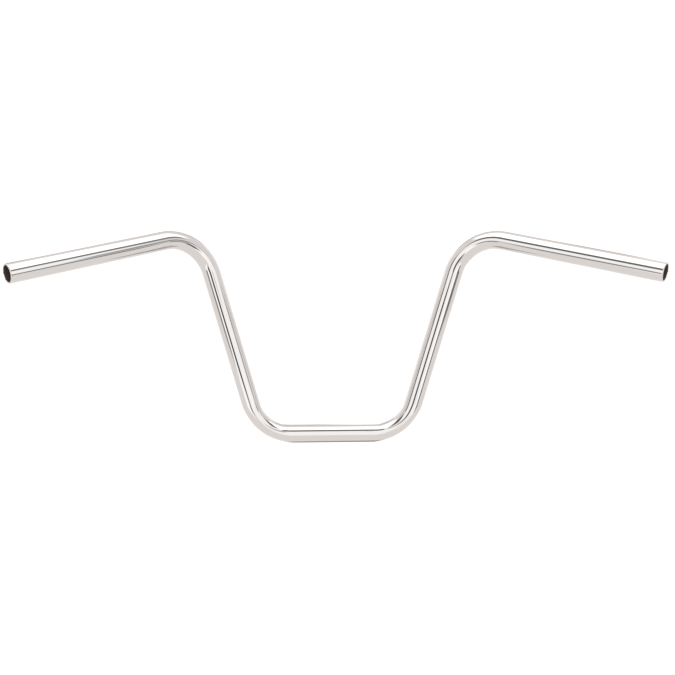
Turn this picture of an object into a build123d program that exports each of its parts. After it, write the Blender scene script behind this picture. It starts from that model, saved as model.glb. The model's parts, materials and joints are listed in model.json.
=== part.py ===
from build123d import *
import os
from math import radians, tan

# High-rise motorcycle handlebar, bent from one length of round steel tube.
# Origin: the middle of the clamp section, on the tube's centreline.
# +X runs along the clamp section to the rider's right, +Z is up, and -Y points back at the rider.
# The clamp section and both risers lie in the XZ plane, and the grips sweep back from it.

# Tube
TUBE_OD = 25.4          # outside diameter
TUBE_WALL = 2.0         # wall thickness
BEND_RADIUS = 62.0      # radius of every bend, on the centreline

# Clamp section and risers
CLAMP_STRAIGHT = 112.0  # straight length that the riser clamps close on
RISER_LEAN = 16.0       # degrees that each riser leans outwards from upright
CORNER_HEIGHT = 283.0   # upper corner above the clamp section, centreline to centreline

# Grips: where the centreline ends
OVERALL_WIDTH = 815.0   # from one end to the other, along X
PULLBACK = 161.0        # how far the ends lie behind the clamp section, along Y
END_HEIGHT = 242.0      # height of the ends above the clamp section, along Z

# Open ends
END_ROUND = 1.0         # radius on the outer edge, so that a rubber grip slides on
BORE_CHAMFER = 0.4      # deburred inner edge

TUBE_RADIUS = TUBE_OD / 2
BORE_RADIUS = TUBE_RADIUS - TUBE_WALL

# Corners of the centreline, where its straight runs would meet without the bends.
base_turn = 90 - RISER_LEAN
base_corner_x = CLAMP_STRAIGHT / 2 + BEND_RADIUS * tan(radians(base_turn / 2))
upper_corner_x = base_corner_x + CORNER_HEIGHT * tan(radians(RISER_LEAN))
right_corners = [
    (base_corner_x, 0, 0),
    (upper_corner_x, 0, CORNER_HEIGHT),
    (OVERALL_WIDTH / 2, -PULLBACK, END_HEIGHT),
]
left_corners = [(-x, y, z) for x, y, z in reversed(right_corners)]

os.makedirs("parts", exist_ok=True)

# The centreline runs from the left end to the right end: five straights and four bends.
with BuildLine() as centreline:
    FilletPolyline(*left_corners, *right_corners, radius=BEND_RADIUS)

# The tube follows the centreline run by run, extruded along each straight and turned about
# each bend's own axis, so that every stretch keeps a true round section.
with BuildPart() as handlebar_tube:
    for run in centreline.edges():
        start = run @ 0
        heading = run % 0
        with BuildSketch(Plane(origin=start, z_dir=heading)):
            Circle(TUBE_RADIUS)
            Circle(BORE_RADIUS, mode=Mode.SUBTRACT)
        if run.geom_type == GeomType.LINE:
            extrude(amount=run.length)
        else:
            bend_centre = run.arc_center
            bend_axis = Axis(bend_centre, (start - bend_centre).cross(heading))
            revolve(axis=bend_axis, revolution_arc=heading.get_angle(run % 1))

    # Both cut ends are flat rings: round the outer edge and deburr the inner one.
    cut_ends = handlebar_tube.faces().filter_by(GeomType.PLANE)
    outer_edges = [face.outer_wire().edge() for face in cut_ends]
    inner_edges = [face.inner_wires()[0].edge() for face in cut_ends]
    fillet(outer_edges, radius=END_ROUND)
    chamfer(inner_edges, length=BORE_CHAMFER)
handlebar_tube.part.label = "handlebar_tube"
export_step(handlebar_tube.part, "parts/handlebar_tube.step")
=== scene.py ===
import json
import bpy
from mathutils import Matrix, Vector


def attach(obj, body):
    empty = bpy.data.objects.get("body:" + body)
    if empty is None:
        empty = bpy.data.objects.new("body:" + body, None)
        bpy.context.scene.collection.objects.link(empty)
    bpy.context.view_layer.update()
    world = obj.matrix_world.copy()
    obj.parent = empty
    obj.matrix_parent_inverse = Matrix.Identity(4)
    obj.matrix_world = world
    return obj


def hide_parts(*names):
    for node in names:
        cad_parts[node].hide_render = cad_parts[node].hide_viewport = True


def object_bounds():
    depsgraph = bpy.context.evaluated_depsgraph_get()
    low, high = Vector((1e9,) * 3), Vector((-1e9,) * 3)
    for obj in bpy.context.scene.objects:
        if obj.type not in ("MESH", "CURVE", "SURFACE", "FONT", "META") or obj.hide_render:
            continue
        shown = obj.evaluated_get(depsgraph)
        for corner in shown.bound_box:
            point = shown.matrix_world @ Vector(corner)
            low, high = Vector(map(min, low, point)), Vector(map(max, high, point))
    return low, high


bl_info = {
    "name": "Handlebar",
    "version": (1, 0, 0),
    "blender": (4, 5, 0),
    "location": "3D View > Sidebar > Handlebar",
    "description": "A chromed motorcycle handlebar bent from one steel tube, and a studio to show it in",
    "category": "Add Mesh",
}

from collections import namedtuple
from math import ceil, cos, pi, radians, sin, sqrt, tan

import bpy
from mathutils import Matrix, Vector

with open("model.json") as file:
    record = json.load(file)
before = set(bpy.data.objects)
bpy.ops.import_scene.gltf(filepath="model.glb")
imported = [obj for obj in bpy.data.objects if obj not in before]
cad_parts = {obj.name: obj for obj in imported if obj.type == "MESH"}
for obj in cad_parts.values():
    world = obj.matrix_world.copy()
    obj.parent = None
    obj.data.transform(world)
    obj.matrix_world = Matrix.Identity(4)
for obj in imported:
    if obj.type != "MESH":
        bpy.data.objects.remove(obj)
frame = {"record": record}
CAD_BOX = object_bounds()

MM = 0.001
MOUNTS = {mount["name"]: mount for mount in frame["record"]["mounts"]}


def mount_length(name):
    return MOUNTS[name]["dims"]["length_mm"] * MM


def mount_radius(name):
    return MOUNTS[name]["dims"]["r_mm"] * MM


# ---------------------------------------------------------------------------
# Colours and nodes
# ---------------------------------------------------------------------------


def linear(code):
    """The linear colour of an sRGB hex code such as "CCCBCB"."""
    channels = [int(code[i : i + 2], 16) / 255 for i in (0, 2, 4)]
    return tuple(c / 12.92 if c <= 0.04045 else ((c + 0.055) / 1.055) ** 2.4 for c in channels)


def add_node(tree, kind, inputs=None, **settings):
    """Adds a node. inputs maps a socket's name or number to a value, or to the output that feeds it."""
    node = tree.nodes.new(kind)
    for name, value in settings.items():
        setattr(node, name, value)
    for socket, value in (inputs or {}).items():
        if isinstance(value, bpy.types.NodeSocket):
            tree.links.new(value, node.inputs[socket])
        else:
            node.inputs[socket].default_value = value
    return node


def new_material(name):
    """An empty node material and its tree."""
    material = bpy.data.materials.new(name)
    material.use_nodes = True
    material.node_tree.nodes.clear()
    return material, material.node_tree


# ---------------------------------------------------------------------------
# Sizes and colours that a user would change
# ---------------------------------------------------------------------------


class TubeSizes(bpy.types.PropertyGroup):
    """Sizes of the bent tube that its mounts don't give"""

    end_round: bpy.props.FloatProperty(
        name="End round",
        description="Radius on the outer edge of each cut end",
        default=1.0 * MM,
        min=0.1 * MM,
        unit="LENGTH",
    )
    bore_chamfer: bpy.props.FloatProperty(
        name="Bore chamfer",
        description="Width of the deburred edge inside each cut end",
        default=0.4 * MM,
        min=0.05 * MM,
        unit="LENGTH",
    )
    lower_flattening: bpy.props.FloatProperty(
        name="Lower flattening",
        description="Share of its width that the tube loses in the plane of a lower bend",
        default=0.075,
        min=0.0,
        max=0.2,
        subtype="FACTOR",
    )
    upper_flattening: bpy.props.FloatProperty(
        name="Upper flattening",
        description="Share of its width that the tube loses in the plane of an upper bend",
        default=0.045,
        min=0.0,
        max=0.2,
        subtype="FACTOR",
    )
    straight_step: bpy.props.FloatProperty(
        name="Straight step",
        description="Longest distance between two rings of vertices on a straight run",
        default=8.0 * MM,
        min=1.0 * MM,
        unit="LENGTH",
    )
    bend_step: bpy.props.FloatProperty(
        name="Bend step",
        description="Largest turn between two rings of vertices in a bend",
        default=radians(2.0),
        min=radians(0.5),
        unit="ROTATION",
    )
    sides: bpy.props.IntProperty(
        name="Sides",
        description="Vertices around the tube",
        default=96,
        min=24,
    )


class FinishColours(bpy.types.PropertyGroup):
    """Colours of the handlebar's finishes and of the studio round it"""

    chrome: bpy.props.FloatVectorProperty(
        name="Chrome",
        description="Reflected colour of the chromium plating",
        default=linear("CCCBCB"),
        min=0.0,
        max=1.0,
        size=3,
        subtype="COLOR",
    )
    thin_chrome: bpy.props.FloatVectorProperty(
        name="Thin chrome",
        description="Reflected colour where the chromium is thin and the nickel under it shows",
        default=linear("CCC8C5"),
        min=0.0,
        max=1.0,
        size=3,
        subtype="COLOR",
    )
    bore_steel: bpy.props.FloatVectorProperty(
        name="Bore steel",
        description="Colour of the bare drawn steel inside the tube",
        default=linear("4A403A"),
        min=0.0,
        max=1.0,
        size=3,
        subtype="COLOR",
    )
    bore_rust: bpy.props.FloatVectorProperty(
        name="Bore rust",
        description="Colour of the light rust bloom inside the tube",
        default=linear("5C4534"),
        min=0.0,
        max=1.0,
        size=3,
        subtype="COLOR",
    )
    table: bpy.props.FloatVectorProperty(
        name="Table",
        description="Colour of the studio's opal floor",
        default=linear("EDEDEC"),
        min=0.0,
        max=1.0,
        size=3,
        subtype="COLOR",
    )
    surround: bpy.props.FloatVectorProperty(
        name="Surround",
        description="Colour of the studio's painted walls and ceiling",
        default=linear("FFFAF8"),
        min=0.0,
        max=1.0,
        size=3,
        subtype="COLOR",
    )


class StudioSizes(bpy.types.PropertyGroup):
    """Settings of the studio's camera, floor and white surround"""

    camera_distance: bpy.props.FloatProperty(
        name="Camera distance",
        description="From the camera to the point that it looks at",
        default=1.467,
        min=0.2,
        unit="LENGTH",
    )
    camera_elevation: bpy.props.FloatProperty(
        name="Camera elevation",
        description="How far the camera looks down",
        default=radians(8.5),
        unit="ROTATION",
    )
    camera_azimuth: bpy.props.FloatProperty(
        name="Camera azimuth",
        description="How far the camera stands round to the rider's right",
        default=radians(-3.1),
        unit="ROTATION",
    )
    camera_roll: bpy.props.FloatProperty(
        name="Camera roll",
        description="Turn of the camera about its own axis",
        default=radians(0.14),
        unit="ROTATION",
    )
    aim_side: bpy.props.FloatProperty(
        name="Aim",
        description="How far to the right of the middle the camera looks",
        default=-17.3 * MM,
        unit="LENGTH",
    )
    lens: bpy.props.FloatProperty(
        name="Lens",
        description="Focal length in millimetres on a 36 mm sensor",
        default=55.9,
        min=10.0,
    )
    lens_shift: bpy.props.FloatProperty(
        name="Lens shift",
        description="Sideways shift of the picture, as a share of its width",
        default=0.025,
    )
    floor_drop: bpy.props.FloatProperty(
        name="Floor drop",
        description="How far the floor lies below the handlebar's lowest point",
        default=0.8,
        min=0.0,
        unit="LENGTH",
    )
    surround_light: bpy.props.FloatProperty(
        name="Surround light",
        description="Brightness of the white walls and ceiling all round",
        default=1.1,
        min=0.0,
    )


# ---------------------------------------------------------------------------
# The tube's centreline
# ---------------------------------------------------------------------------

Ring = namedtuple("Ring", "centre heading squeeze_axis flattening distance")
Ring.__doc__ = "One place along the centreline: squeeze_axis points from the tube to its bend's centre."

# The section flattens and recovers within a quarter of each bend.
EASE_RATE = 4.0
# A flattened tube bulges sideways by this share of what it loses in the bend's plane.
BULGE = 0.35
# Times that the lower corner and the bend radius are worked out from each other.
CORNER_ROUNDS = 60
# Steps of the quarter circle round a cut end's outer edge.
END_ROUND_STEPS = 8
# Rings this far from an edge keep its shading from spreading along the wall.
EDGE_SUPPORT = 0.1 * MM
NEAR_SUPPORT = 1 * MM
FAR_SUPPORT = 4 * MM
# How many of an end's rings lie on the bore's wall.
BORE_WALL_RINGS = 3
# The straight runs' rings stop this far short of an end's own.
END_CLEARANCE = 1 * MM
# The mesh's second material, after the chrome.
BORE_SLOT = 1
SHARP_ANGLE = radians(30)
# Share of a bake strip that stays empty on each side, so that strips don't bleed into each other.
BAKE_MARGIN_ROUND = 0.04
BAKE_MARGIN_ALONG = 0.05


def find_corners(sizes):
    """The four corners where the straight runs would meet if there were no bends, and the bend radius.

    The mounts give the clamp section's length and the line and length of each grip. All four bends
    share one radius, so the lower corner and the radius are found together, each from the other.
    """
    grip = MOUNTS["right_grip"]
    grip_middle = Vector(grip["pos_m"])
    grip_axis = Vector(grip["axis"]).normalized()
    grip_length = mount_length("right_grip") + sizes.end_round
    grip_start = grip_middle - grip_axis * grip_length / 2
    grip_end = grip_middle + grip_axis * grip_length / 2
    upper = grip_middle - grip_axis * grip_middle.y / grip_axis.y
    half_clamp = mount_length("clamp_section") / 2
    lower = Vector((half_clamp, 0, 0))
    for _ in range(CORNER_ROUNDS):
        riser = (upper - lower).normalized()
        bend_radius = (upper - grip_start).length / tan(riser.angle(grip_axis) / 2)
        lower = Vector((half_clamp + bend_radius * tan(Vector((1, 0, 0)).angle(riser) / 2), 0, 0))
    right = [lower, upper, grip_end]
    left = [Vector((-corner.x, corner.y, corner.z)) for corner in reversed(right)]
    return left + right, bend_radius


def smooth_step(share):
    share = min(max(share, 0.0), 1.0)
    return share * share * (3 - 2 * share)


def lay_out_rings(sizes):
    """Rings from the left end to the right end, close together in the bends."""
    corners, bend_radius = find_corners(sizes)
    bend_flattening = [
        sizes.upper_flattening,
        sizes.lower_flattening,
        sizes.lower_flattening,
        sizes.upper_flattening,
    ]
    rings = []
    travelled = 0.0
    run_start = corners[0]
    for i, corner in enumerate(corners[1:], 1):
        heading = (corner - corners[i - 1]).normalized()
        last_run = i == len(corners) - 1
        if last_run:
            run_end = corner
        else:
            next_heading = (corners[i + 1] - corner).normalized()
            turn = heading.angle(next_heading)
            run_end = corner - heading * bend_radius * tan(turn / 2)
        run_length = (run_end - run_start).length
        steps = ceil(run_length / sizes.straight_step)
        for step in range(steps + 1):
            share = step / steps
            place = run_start.lerp(run_end, share)
            rings.append(Ring(place, heading, None, 0.0, travelled + run_length * share))
        travelled += run_length
        if last_run:
            break
        bend_axis = heading.cross(next_heading).normalized()
        bend_centre = run_end + bend_axis.cross(heading) * bend_radius
        arm = run_end - bend_centre
        steps = ceil(turn / sizes.bend_step)
        for step in range(1, steps):
            angle = turn * step / steps
            spin = Matrix.Rotation(angle, 3, bend_axis)
            ease = smooth_step(EASE_RATE * step / steps) * smooth_step(EASE_RATE * (1 - step / steps))
            rings.append(
                Ring(
                    bend_centre + spin @ arm,
                    spin @ heading,
                    -(spin @ arm).normalized(),
                    bend_flattening[i - 1] * ease,
                    travelled + bend_radius * angle,
                )
            )
        travelled += bend_radius * turn
        run_start = bend_centre + Matrix.Rotation(turn, 3, bend_axis) @ arm
    return rings


def section_offset(angle, across, up, ring, radius):
    """From the ring's centre to its wall at this angle, squeezed in the bend's plane."""
    offset = (across * cos(angle) + up * sin(angle)) * radius
    if ring.squeeze_axis:
        sideways = ring.heading.cross(ring.squeeze_axis)
        offset -= ring.squeeze_axis * offset.dot(ring.squeeze_axis) * ring.flattening
        offset += sideways * offset.dot(sideways) * ring.flattening * BULGE
    return offset


def end_profile(sizes):
    """Steps round one cut end, outside to inside: how far back from the end's face, and the radius."""
    outer = mount_radius("right_grip")
    bore = mount_radius("right_bore")
    rounding = sizes.end_round
    chamfer = sizes.bore_chamfer
    profile = [(rounding + FAR_SUPPORT, outer), (rounding + NEAR_SUPPORT, outer)]
    for step in range(END_ROUND_STEPS + 1):
        angle = pi / 2 * step / END_ROUND_STEPS
        profile.append((rounding * (1 - sin(angle)), outer - rounding * (1 - cos(angle))))
    profile.append((0.0, bore + chamfer + EDGE_SUPPORT))
    profile.append((0.0, bore + chamfer))
    profile.append((chamfer, bore))
    profile.append((chamfer + NEAR_SUPPORT, bore))
    profile.append((chamfer + FAR_SUPPORT, bore))
    return profile


def section_loop(rings, sizes):
    """Each ring of the mesh in order, with its radius: along the outside, round the right end, back
    down the bore and round the left end. Also gives which rows of faces are the bore's wall."""
    outer = mount_radius("right_grip")
    bore = mount_radius("right_bore")
    profile = end_profile(sizes)
    margin = profile[0][0] + END_CLEARANCE
    length = rings[-1].distance
    inside = [ring for ring in rings if margin < ring.distance < length - margin]

    def end_rings(ring, outward):
        return [
            (ring._replace(centre=ring.centre - outward * back, squeeze_axis=None), radius)
            for back, radius in profile
        ]

    right = end_rings(rings[-1], rings[-1].heading)
    left = end_rings(rings[0], -rings[0].heading)
    loop = [(ring, outer) for ring in inside] + right
    loop += [(ring, bore) for ring in reversed(inside)] + left[::-1]
    bore_rows = range(
        len(inside) + len(profile) - BORE_WALL_RINGS,
        len(loop) - len(profile) + BORE_WALL_RINGS - 1,
    )
    return loop, bore_rows


def loop_points(loop, rings, sides):
    """The vertices, whose angles start from a direction carried along the tube without twist."""
    carried = {}
    up = rings[0].heading.cross(Vector((0, 1, 0))).normalized()
    for ring in rings:
        up = (up - ring.heading * up.dot(ring.heading)).normalized()
        carried[ring.distance] = up
    points = []
    for ring, radius in loop:
        up = carried[ring.distance]
        across = up.cross(ring.heading)
        for side in range(sides):
            angle = 2 * pi * side / sides
            points.append(ring.centre + section_offset(angle, across, up, ring, radius))
    return points


def loop_lengths(loop):
    """How far along the wall each ring of the loop lies, and last the way round to the first again."""
    lengths = [0.0]
    for (before, radius_before), (ring, radius) in zip(loop, loop[1:]):
        step = (ring.centre - before.centre).length
        lengths.append(lengths[-1] + sqrt(step**2 + (radius - radius_before) ** 2))
    lengths.append(lengths[-1] + (loop[0][0].centre - loop[-1][0].centre).length)
    return lengths


def grid_faces(lengths, sides, outer):
    """The closed grid's faces. Each of their corners gets a place on the wrap, in metres, and one on
    the bake map, where the wall is cut into strips that lie side by side."""
    strips = round(sqrt(lengths[-1] / (2 * pi * outer)))
    strip_length = lengths[-1] / strips
    count = len(lengths) - 1
    faces = []
    wraps = []
    bakes = []
    for number in range(count):
        after = (number + 1) % count
        strip = int((lengths[number] + lengths[number + 1]) / 2 / strip_length)
        for side in range(sides):
            beside = (side + 1) % sides
            faces.append(
                (
                    number * sides + side,
                    number * sides + beside,
                    after * sides + beside,
                    after * sides + side,
                )
            )
            for ring_number, turn in (
                (number, side),
                (number, side + 1),
                (number + 1, side + 1),
                (number + 1, side),
            ):
                around = turn / sides
                along = lengths[ring_number] / strip_length - strip
                wraps.append((around * 2 * pi * outer, lengths[ring_number]))
                bakes.append(
                    (
                        (strip + BAKE_MARGIN_ROUND + (1 - 2 * BAKE_MARGIN_ROUND) * around) / strips,
                        BAKE_MARGIN_ALONG + (1 - 2 * BAKE_MARGIN_ALONG) * along,
                    )
                )
    return faces, wraps, bakes


def build_tube(sizes):
    """The whole wall as one closed mesh, whose UV maps hold its wrap and its bake map."""
    sides = sizes.sides
    rings = lay_out_rings(sizes)
    loop, bore_rows = section_loop(rings, sizes)
    faces, wraps, bakes = grid_faces(loop_lengths(loop), sides, mount_radius("right_grip"))
    mesh = bpy.data.meshes.new("chromed_handlebar")
    mesh.from_pydata(loop_points(loop, rings, sides), [], faces)
    for name, places in (("OFBake", bakes), ("TubeWrap", wraps)):
        layer = mesh.uv_layers.new(name=name)
        for corner, place in zip(layer.data, places, strict=True):
            corner.uv = place
    for row in bore_rows:
        for side in range(sides):
            mesh.polygons[row * sides + side].material_index = BORE_SLOT
    mesh.polygons.foreach_set("use_smooth", [True] * len(faces))
    mesh.set_sharp_from_angle(angle=SHARP_ANGLE)
    mesh.validate()
    mesh.update()
    return mesh


# ---------------------------------------------------------------------------
# Finishes
# ---------------------------------------------------------------------------

# Marks to the metre, round the tube and along it.
THIN_PATCHES = (20, 16, 1)
BELT_LINES = (30, 1 / (0.7 * MM), 1)
HAZE_SMEARS = (55, 40, 1)
DRAW_LINES = (1 / (1.5 * MM), 12, 1)
RUST_BLOOMS = (130, 130, 1)
# Roughness of the plating where it is cleanest and where it is haziest.
CLEAN_ROUGHNESS = 0.03
HAZY_ROUGHNESS = 0.075
# Clouds to the metre in the opal floor, and how pale they leave it.
TABLE_CLOUDS = 3.0
CLOUD_TONE = 0.98
# Brightness that shines up through the opal floor.
TABLE_GLOW = 0.22


def polished_chrome_plate(colours):
    """Bright decorative chromium over nickel, on tube that was belt polished before plating.

    It mirrors its surroundings sharply, at some 60% of their brightness and hardly tinted. The belt
    leaves faint rings round the tube, and handling leaves a slight haze.
    """
    material, tree = new_material("polished_chrome_plate")
    wrap = add_node(tree, "ShaderNodeUVMap", uv_map="TubeWrap")

    # The plating is thinner in places, which lets the nickel's warmth through: patches about
    # 50 by 60 mm.
    patch_place = add_node(
        tree, "ShaderNodeMapping", {"Vector": wrap.outputs["UV"], "Scale": THIN_PATCHES}
    )
    patches = add_node(
        tree,
        "ShaderNodeTexNoise",
        {"Vector": patch_place.outputs["Vector"], "Scale": 1.0, "Detail": 2.0},
    )
    tint = add_node(
        tree,
        "ShaderNodeMix",
        {
            "Factor": patches.outputs["Fac"],
            6: (*colours.chrome, 1),
            7: (*colours.thin_chrome, 1),
        },
        data_type="RGBA",
    )

    # Belt lines of 400 grit are some 0.03 mm apart, so they are drawn at 0.7 mm to show at all.
    line_place = add_node(
        tree,
        "ShaderNodeMapping",
        {"Vector": wrap.outputs["UV"], "Scale": BELT_LINES},
    )
    lines = add_node(
        tree,
        "ShaderNodeTexNoise",
        {"Vector": line_place.outputs["Vector"], "Scale": 1.0, "Detail": 3.0},
    )
    # Handling haze in smears about 18 by 25 mm.
    smear_place = add_node(
        tree, "ShaderNodeMapping", {"Vector": wrap.outputs["UV"], "Scale": HAZE_SMEARS}
    )
    smears = add_node(
        tree,
        "ShaderNodeTexNoise",
        {"Vector": smear_place.outputs["Vector"], "Scale": 1.0, "Detail": 4.0},
    )
    haze = add_node(
        tree,
        "ShaderNodeMapRange",
        {
            "Value": smears.outputs["Fac"],
            "From Min": 0.35,
            "From Max": 0.75,
            "To Min": CLEAN_ROUGHNESS,
            "To Max": HAZY_ROUGHNESS,
        },
    )
    relief = add_node(
        tree,
        "ShaderNodeBump",
        {"Height": lines.outputs["Fac"], "Strength": 0.05, "Distance": 0.01 * MM},
    )
    shader = add_node(
        tree,
        "ShaderNodeBsdfPrincipled",
        {
            "Base Color": tint.outputs[2],
            "Metallic": 1.0,
            "Roughness": haze.outputs["Result"],
            "Normal": relief.outputs["Normal"],
        },
    )
    add_node(tree, "ShaderNodeOutputMaterial", {"Surface": shader.outputs["BSDF"]})
    return material


def drawn_steel_bore(colours):
    """Bare steel as it was drawn over a plug, dull with mill scale and a bloom of light rust.

    Plating hardly reaches into a tube, so the bore stays dark and matt behind its bright rim.
    """
    material, tree = new_material("drawn_steel_bore")
    wrap = add_node(tree, "ShaderNodeUVMap", uv_map="TubeWrap")

    # Draw lines run along the bore, about 0.5 mm apart, drawn at 1.5 mm so that they show.
    line_place = add_node(
        tree,
        "ShaderNodeMapping",
        {"Vector": wrap.outputs["UV"], "Scale": DRAW_LINES},
    )
    lines = add_node(
        tree,
        "ShaderNodeTexNoise",
        {"Vector": line_place.outputs["Vector"], "Scale": 1.0, "Detail": 2.0},
    )
    # Rust blooms are about 8 mm across.
    bloom_place = add_node(
        tree, "ShaderNodeMapping", {"Vector": wrap.outputs["UV"], "Scale": RUST_BLOOMS}
    )
    blooms = add_node(
        tree,
        "ShaderNodeTexNoise",
        {"Vector": bloom_place.outputs["Vector"], "Scale": 1.0, "Detail": 6.0},
    )
    rusty = add_node(
        tree,
        "ShaderNodeMapRange",
        {"Value": blooms.outputs["Fac"], "From Min": 0.45, "From Max": 0.7},
    )
    tint = add_node(
        tree,
        "ShaderNodeMix",
        {
            "Factor": rusty.outputs["Result"],
            6: (*colours.bore_steel, 1),
            7: (*colours.bore_rust, 1),
        },
        data_type="RGBA",
    )
    relief = add_node(
        tree,
        "ShaderNodeBump",
        {"Height": lines.outputs["Fac"], "Strength": 0.4, "Distance": 0.05 * MM},
    )
    shader = add_node(
        tree,
        "ShaderNodeBsdfPrincipled",
        {
            "Base Color": tint.outputs[2],
            "Metallic": 0.0,
            "Roughness": 0.8,
            "Specular IOR Level": 0.25,
            "Normal": relief.outputs["Normal"],
        },
    )
    add_node(tree, "ShaderNodeOutputMaterial", {"Surface": shader.outputs["BSDF"]})
    return material


def opal_acrylic(colours):
    """Opal acrylic sheet, cast and sanded, lit from beneath as product tables are: an even, shadowless
    pale white with a faint cloudiness."""
    material, tree = new_material("opal_acrylic")
    place = add_node(tree, "ShaderNodeTexCoord")
    clouds = add_node(
        tree,
        "ShaderNodeTexNoise",
        {"Vector": place.outputs["Object"], "Scale": TABLE_CLOUDS, "Detail": 2.0},
    )
    tint = add_node(
        tree,
        "ShaderNodeMix",
        {
            "Factor": clouds.outputs["Fac"],
            6: (*colours.table, 1),
            7: (*[channel * CLOUD_TONE for channel in colours.table], 1),
        },
        data_type="RGBA",
    )
    shader = add_node(
        tree,
        "ShaderNodeBsdfPrincipled",
        {
            "Base Color": tint.outputs[2],
            "Roughness": 0.9,
            "Specular IOR Level": 0.1,
            "Emission Color": (1, 1, 1, 1),
            "Emission Strength": TABLE_GLOW,
        },
    )
    add_node(tree, "ShaderNodeOutputMaterial", {"Surface": shader.outputs["BSDF"]})
    return material


# ---------------------------------------------------------------------------
# The studio
# ---------------------------------------------------------------------------

# Corners of a square that reaches 1 each way from its middle.
SQUARE = ((-1, -1), (1, -1), (1, 1), (-1, 1))
# Half the floor's width, in metres.
FLOOR_REACH = 8.0
# In millimetres, as the lens's focal length is.
SENSOR_WIDTH = 36.0

Card = namedtuple("Card", "name azimuth elevation roll width height distance softness glow")
Card.__doc__ = """A flat card that faces the handlebar's middle: a lit silk or a black flag.

All but the last three are degrees. Azimuth is measured from the handlebar's front round to its
right, roll turns the card about its middle, and width and height are how large it looks from the
handlebar. Distance and softness are metres, and softness is how far the card's edge takes to fade.
Glow is brightness, where white paper in daylight is 1 and black is 0.
"""

# The front silk fills the chrome's middle and the overhead one draws its brightest stripe. The flags
# edge the front silk with black, so that a straight run of tube shows thin dark lines beside its
# bright middle, and the camera flag stands below the camera and to its left. The left and right
# flags differ, and so do the dark lines on the bar's two sides. The card under the bar's back is
# painted shade: it stands in for the shade on a floor close beneath the bar, and darkens the clamp
# section's lower edge in the chrome. The rear cards give the back of the bar something to mirror.
SINGLE_CARDS = [
    Card("front_silk", 0, 14, 0, 116, 56, 2.0, 0.05, 1.48),
    Card("overhead_silk", 5, 77, -20, 90, 62, 1.9, 0.3, 2.2),
    Card("gap_flag", 5, 48, 0, 26, 21, 1.8, 0.08, 0.2),
    Card("camera_flag", -14, -6, 0, 18, 24, 1.8, 0.08, 0.1),
    Card("side_flag_left", -70, 10, 0, 14, 26, 1.8, 0.06, 0.2),
    Card("side_flag_right", 61, 6, 0, 12, 12, 1.8, 0.06, 0.4),
    Card("low_flag_right", 44, -17, 0, 13, 18, 1.8, 0.06, 0.2),
    Card("upper_flag_left", -48, 38, 0, 38, 22, 1.8, 0.09, 0.2),
    Card("upper_flag_right", 53, 40, 0, 34, 18, 1.8, 0.09, 0.3),
    Card("lower_flag_left", -49, -13, 0, 17, 15, 1.8, 0.06, 0.35),
    Card("lower_flag_right", 55, -11, 0, 22, 11, 1.8, 0.06, 0.3),
    # Painted shade: a dark card close under the bar's back, seen only in the chrome, stands in for the
    # shade on a floor just beneath the bar.
    Card("painted_floor_shade", 174, -56, 0, 30, 26, 0.29, 0.02, 0.4),
    Card("rear_silk", 180, 8, 0, 56, 40, 2.0, 0.05, 1.6),
    Card("rear_top_flag", 180, 33, 0, 60, 8, 1.8, 0.06, 0.2),
    Card("rear_middle_flag", 180, 0, 0, 8, 30, 1.8, 0.08, 0.2),
]
# Each of these stands on both sides: a silk low in front, a dim upright beside the middle, and a silk
# and a dim upright for the sides of the bar's back.
PAIRED_CARDS = [
    Card("low_silk", 32, -16, 0, 32, 22, 1.95, 0.05, 1.6),
    Card("stand_flag", 14, 18, 0, 7, 34, 1.8, 0.08, 0.6),
    Card("rear_side_silk", 138, 10, 0, 12, 60, 2.0, 0.05, 1.5),
    Card("rear_side_flag", 149, 10, 0, 6, 50, 1.8, 0.06, 0.5),
]


def all_cards():
    cards = list(SINGLE_CARDS)
    for card in PAIRED_CARDS:
        cards.append(card._replace(name=card.name + "_right"))
        cards.append(
            card._replace(name=card.name + "_left", azimuth=-card.azimuth, roll=-card.roll)
        )
    return cards


def new_object(name, mesh):
    made = bpy.data.objects.new(name, mesh)
    bpy.context.scene.collection.objects.link(made)
    return made


def half_side(card, angle):
    return card.distance * tan(radians(angle) / 2)


def card_cloth(card):
    """A silk glows evenly and a flag is dull black; both fade out at the edge, like a feathered scrim."""
    material, tree = new_material(card.name + "_cloth")
    place = add_node(tree, "ShaderNodeUVMap", uv_map="Cloth")
    from_middle = add_node(
        tree, "ShaderNodeVectorMath", {0: place.outputs["UV"]}, operation="ABSOLUTE"
    )
    axes = add_node(tree, "ShaderNodeSeparateXYZ", {0: from_middle.outputs["Vector"]})
    cover = []
    for axis, half in (("X", half_side(card, card.width)), ("Y", half_side(card, card.height))):
        fade = add_node(
            tree,
            "ShaderNodeMapRange",
            {
                "Value": axes.outputs[axis],
                "From Min": half - card.softness,
                "From Max": half + card.softness,
                "To Min": 1.0,
                "To Max": 0.0,
            },
            interpolation_type="SMOOTHSTEP",
        )
        cover.append(fade.outputs["Result"])
    both = add_node(tree, "ShaderNodeMath", {0: cover[0], 1: cover[1]}, operation="MULTIPLY")
    glow = add_node(tree, "ShaderNodeEmission", {"Strength": card.glow})
    clear = add_node(tree, "ShaderNodeBsdfTransparent")
    mixed = add_node(
        tree,
        "ShaderNodeMixShader",
        {0: both.outputs[0], 1: clear.outputs["BSDF"], 2: glow.outputs["Emission"]},
    )
    add_node(tree, "ShaderNodeOutputMaterial", {"Surface": mixed.outputs["Shader"]})
    return material


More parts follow.
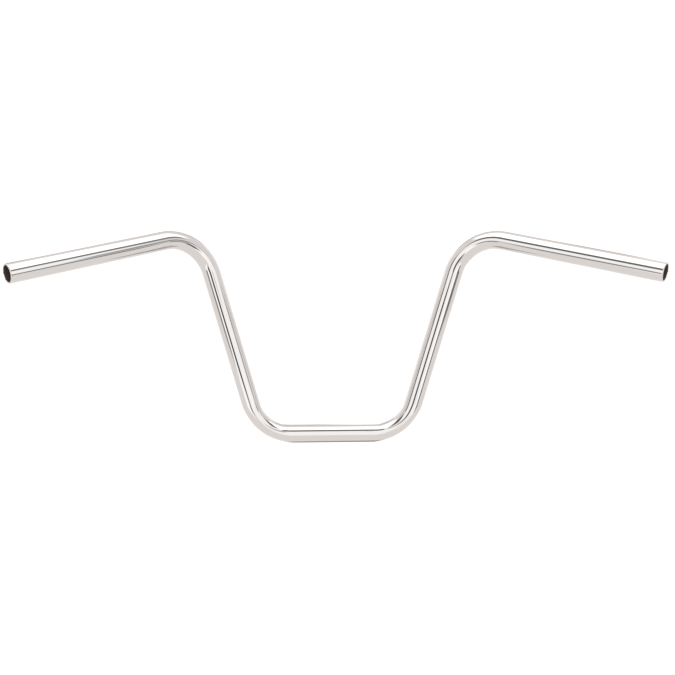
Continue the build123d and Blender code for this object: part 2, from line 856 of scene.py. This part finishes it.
def hang_card(card, middle):
    """Builds a card that faces the handlebar's middle. It shows only in glossy reflections: the
    camera looks through it, and it neither lights nor shades the floor."""
    azimuth = radians(card.azimuth)
    elevation = radians(card.elevation)
    outward = Vector((sin(azimuth) * cos(elevation), -cos(azimuth) * cos(elevation), sin(elevation)))
    right = Vector((cos(azimuth), sin(azimuth), 0))
    up = outward.cross(right)
    up = up if up.z > 0 else -up
    roll = radians(card.roll)
    across = right * cos(roll) + up * sin(roll)
    upward = up * cos(roll) - right * sin(roll)
    centre = middle + outward * card.distance
    half_width = half_side(card, card.width) + card.softness
    half_height = half_side(card, card.height) + card.softness
    points = [centre + across * half_width * x + upward * half_height * y for x, y in SQUARE]
    mesh = bpy.data.meshes.new(card.name)
    mesh.from_pydata(points, [], [(0, 1, 2, 3)])
    cloth = mesh.uv_layers.new(name="Cloth")
    for corner, (x, y) in zip(cloth.data, SQUARE, strict=True):
        corner.uv = (x * half_width, y * half_height)
    mesh.materials.append(card_cloth(card))
    made = new_object(card.name, mesh)
    made.visible_camera = False
    made.visible_shadow = False
    made.visible_diffuse = False


def lay_floor(sizes, colours):
    """A wide opal floor, level and well below the handlebar."""
    level = CAD_BOX[0].z - sizes.floor_drop
    points = [(x * FLOOR_REACH, y * FLOOR_REACH, level) for x, y in SQUARE]
    mesh = bpy.data.meshes.new("opal_floor")
    mesh.from_pydata(points, [], [(0, 1, 2, 3)])
    mesh.materials.append(opal_acrylic(colours))
    new_object("opal_floor", mesh)


def light_surround(sizes, colours):
    world = bpy.data.worlds.new("white_surround")
    world.use_nodes = True
    tree = world.node_tree
    tree.nodes.clear()
    glow = add_node(
        tree,
        "ShaderNodeBackground",
        {"Color": (*colours.surround, 1), "Strength": sizes.surround_light},
    )
    add_node(tree, "ShaderNodeOutputWorld", {"Surface": glow.outputs["Background"]})
    bpy.context.scene.world = world


def place_camera(sizes):
    """Looks at the risers' plane from the rider's side, a little from above."""
    elevation = sizes.camera_elevation
    azimuth = sizes.camera_azimuth
    aim = Vector((sizes.aim_side, 0, (CAD_BOX[0].z + CAD_BOX[1].z) / 2))
    back = Vector((sin(azimuth) * cos(elevation), -cos(azimuth) * cos(elevation), sin(elevation)))
    level = Vector((cos(azimuth), sin(azimuth), 0))
    upright = back.cross(level)
    roll = sizes.camera_roll
    right = level * cos(roll) + upright * sin(roll)
    up = upright * cos(roll) - level * sin(roll)
    data = bpy.data.cameras.new("camera")
    data.lens = sizes.lens
    data.sensor_width = SENSOR_WIDTH
    data.shift_x = sizes.lens_shift
    camera = new_object("camera", data)
    turn = Matrix((right, up, back)).transposed()
    camera.matrix_world = Matrix.Translation(aim + back * sizes.camera_distance) @ turn.to_4x4()
    bpy.context.scene.camera = camera


# ---------------------------------------------------------------------------
# Operators, panel and registration
# ---------------------------------------------------------------------------


class HANDLEBAR_OT_bend_tube(bpy.types.Operator):
    """Build the bent, chromed tube in place of its CAD solid"""

    bl_idname = "handlebar.bend_tube"
    bl_label = "Bend Tube"
    bl_options = {"REGISTER", "UNDO"}

    def execute(self, context):
        scene = context.scene
        mesh = build_tube(scene.handlebar_tube_sizes)
        mesh.materials.append(polished_chrome_plate(scene.handlebar_colours))
        mesh.materials.append(drawn_steel_bore(scene.handlebar_colours))
        tube = new_object("chromed_handlebar", mesh)
        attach(tube, "root")
        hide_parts("handlebar_tube")
        return {"FINISHED"}


class HANDLEBAR_OT_set_up_studio(bpy.types.Operator):
    """Lay the floor, hang the silks and flags and place the camera"""

    bl_idname = "handlebar.set_up_studio"
    bl_label = "Set Up Studio"
    bl_options = {"REGISTER", "UNDO"}

    def execute(self, context):
        scene = context.scene
        sizes = scene.handlebar_studio_sizes
        middle = (CAD_BOX[0] + CAD_BOX[1]) / 2
        lay_floor(sizes, scene.handlebar_colours)
        for card in all_cards():
            hang_card(card, middle)
        light_surround(sizes, scene.handlebar_colours)
        place_camera(sizes)
        scene.view_settings.view_transform = "Standard"
        return {"FINISHED"}


class HANDLEBAR_PT_sidebar(bpy.types.Panel):
    """Lists the handlebar's steps and sizes"""

    bl_label = "Handlebar"
    bl_idname = "HANDLEBAR_PT_sidebar"
    bl_space_type = "VIEW_3D"
    bl_region_type = "UI"
    bl_category = "Handlebar"

    def draw(self, context):
        layout = self.layout
        scene = context.scene
        for operator in (HANDLEBAR_OT_bend_tube, HANDLEBAR_OT_set_up_studio):
            layout.operator(operator.bl_idname)
        for group in (
            scene.handlebar_tube_sizes,
            scene.handlebar_colours,
            scene.handlebar_studio_sizes,
        ):
            box = layout.box()
            for name in group.__annotations__:
                box.prop(group, name)


CLASSES = (
    TubeSizes,
    FinishColours,
    StudioSizes,
    HANDLEBAR_OT_bend_tube,
    HANDLEBAR_OT_set_up_studio,
    HANDLEBAR_PT_sidebar,
)
GROUPS = {
    "handlebar_tube_sizes": TubeSizes,
    "handlebar_colours": FinishColours,
    "handlebar_studio_sizes": StudioSizes,
}


def register():
    for each in CLASSES:
        bpy.utils.register_class(each)
    for name, group in GROUPS.items():
        setattr(bpy.types.Scene, name, bpy.props.PointerProperty(type=group))


def unregister():
    for name in GROUPS:
        delattr(bpy.types.Scene, name)
    for each in reversed(CLASSES):
        bpy.utils.unregister_class(each)


def main():
    register()
    bpy.ops.handlebar.bend_tube()
    bpy.ops.handlebar.set_up_studio()


if __name__ == "__main__":
    main()
